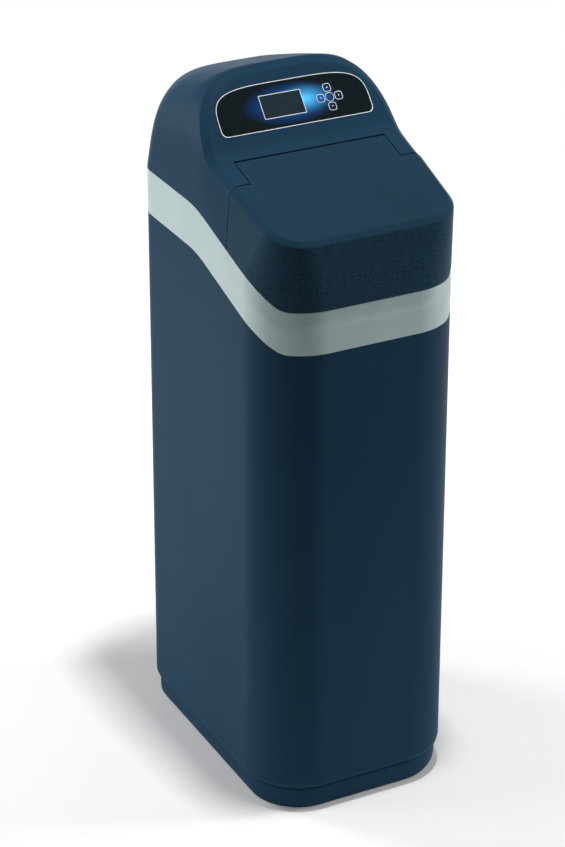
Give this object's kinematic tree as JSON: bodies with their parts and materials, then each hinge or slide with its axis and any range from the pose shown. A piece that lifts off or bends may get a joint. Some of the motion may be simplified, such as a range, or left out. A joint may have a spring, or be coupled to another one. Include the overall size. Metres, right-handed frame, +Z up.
{
  "type": "water softener",
  "caption": "Upright cabinet water softener with a hinged salt lid, sloped control panel, resin tank, rotary valve and brine well.",
  "frame": {"origin": "on the floor, under the middle of the cabinet", "axes": "+Z up, the front with the salt lid and the panel faces -Y, +X to the right seen from the front"},
  "size_m": [0.355, 0.52, 1.186],
  "materials": {
    "cabinet_plastic": "fine satin moulding",
    "rim_plastic": "satin light grey",
    "hood_plastic": "satin dark blue-grey",
    "lid_plastic": "satin with sparkle grain at the sides",
    "panel_gloss": "gloss black with a blue glow",
    "display_glass": "smoked clear window",
    "display_unit": "liquid crystal module",
    "board": "solder resist",
    "key": "gloss dark blue",
    "steel": "zinc plated",
    "black_plastic": "glass filled plastic",
    "white_plastic": "natural moulding",
    "rubber": "black rubber",
    "tank_wrap": "wound fibre over a plastic liner",
    "resin": "amber beads",
    "tubing": "clear-white tubing",
    "float_foam": "closed-cell float"
  },
  "bodies": {
    "softener": {"cabinet": "cabinet_plastic", "rim": "rim_plastic", "top_cover": "hood_plastic", "hinge_pins": "steel", "faceplate": "panel_gloss", "display_window": "display_glass", "display_module": "display_unit", "control_board": "board", "board_screws": "steel", "tact_switches": "black_plastic", "wiring_harness": "rubber", "resin_tank": "tank_wrap", "tank_boot": "rubber", "resin_bed": "resin", "riser_tube": "white_plastic", "top_distributor": "white_plastic", "bottom_distributor": "white_plastic", "neck_o_ring": "rubber", "neck_clamps": "black_plastic", "clamp_clips": "steel", "valve_body": "black_plastic", "rotor_seal": "rubber", "wave_washer": "steel", "valve_cover": "black_plastic", "valve_cover_screws": "steel", "motor_plate": "black_plastic", "plate_screws": "steel", "drive_motor": "steel", "position_switch": "black_plastic", "injector_body": "black_plastic", "nozzle_venturi": "white_plastic", "injector_gasket": "rubber", "injector_cap": "black_plastic", "turbine_support": "white_plastic", "flow_sensor": "black_plastic", "drain_fitting": "black_plastic", "brinewell": "white_plastic", "brine_valve_body": "black_plastic", "brine_screen": "white_plastic", "brine_riser": "white_plastic", "float_stop": "black_plastic", "brine_tube": "tubing", "overflow_grommet": "rubber", "overflow_elbow": "black_plastic", "cable_gland": "rubber"},
    "lid": {"salt_lid": "lid_plastic"},
    "key_up": {"button_up": "key"},
    "key_down": {"button_down": "key"},
    "key_left": {"button_left": "key"},
    "key_right": {"button_right": "key"},
    "key_ok": {"button_ok": "key"},
    "rotor": {"rotor_disc": "white_plastic", "cam_gear": "white_plastic"},
    "pinion": {"motor_pinion": "white_plastic"},
    "meter": {"turbine": "white_plastic"},
    "float": {"brine_float": "float_foam"},
    "well_cap": {"brinewell_cap": "black_plastic"}
  },
  "joints": [
    {"name": "lid_hinge", "type": "hinge", "parent": "softener", "child": "lid", "pos_m": [0, -0.03434, 1.07187], "axis": [-1, 0, 0], "range_deg": [0, 105]},
    {"name": "press_up", "type": "slide", "parent": "softener", "child": "key_up", "axis": [0, 0.766, -0.6428], "range_m": [0, 0.001], "stiffness_N_per_m": 1500},
    {"name": "press_down", "type": "slide", "parent": "softener", "child": "key_down", "axis": [0, 0.766, -0.6428], "range_m": [0, 0.001], "stiffness_N_per_m": 1500},
    {"name": "press_left", "type": "slide", "parent": "softener", "child": "key_left", "axis": [0, 0.766, -0.6428], "range_m": [0, 0.001], "stiffness_N_per_m": 1500},
    {"name": "press_right", "type": "slide", "parent": "softener", "child": "key_right", "axis": [0, 0.766, -0.6428], "range_m": [0, 0.001], "stiffness_N_per_m": 1500},
    {"name": "press_ok", "type": "slide", "parent": "softener", "child": "key_ok", "axis": [0, 0.766, -0.6428], "range_m": [0, 0.001], "stiffness_N_per_m": 1500},
    {"name": "rotor_turn", "type": "hinge", "parent": "softener", "child": "rotor", "pos_m": [0, 0.118, 1.075], "axis": [0, 0, 1], "continuous": true},
    {"name": "pinion_turn", "type": "hinge", "parent": "softener", "child": "pinion", "pos_m": [-0.03983, 0.08457, 1.075], "axis": [0, 0, 1], "continuous": true},
    {"name": "meter_spin", "type": "hinge", "parent": "softener", "child": "meter", "pos_m": [-0.045, 0.194, 1.016], "axis": [0, 1, 0], "continuous": true},
    {"name": "float_rise", "type": "slide", "parent": "softener", "child": "float", "axis": [0, 0, 1], "range_m": [0, 0.12]},
    {"name": "cap_lift", "type": "slide", "parent": "softener", "child": "well_cap", "axis": [0, 0, 1], "range_m": [0, 0.02]}
  ],
  "couplings": [
    {"joint": "pinion_turn", "follows": "rotor_turn", "ratio": -3.3333}
  ]
}
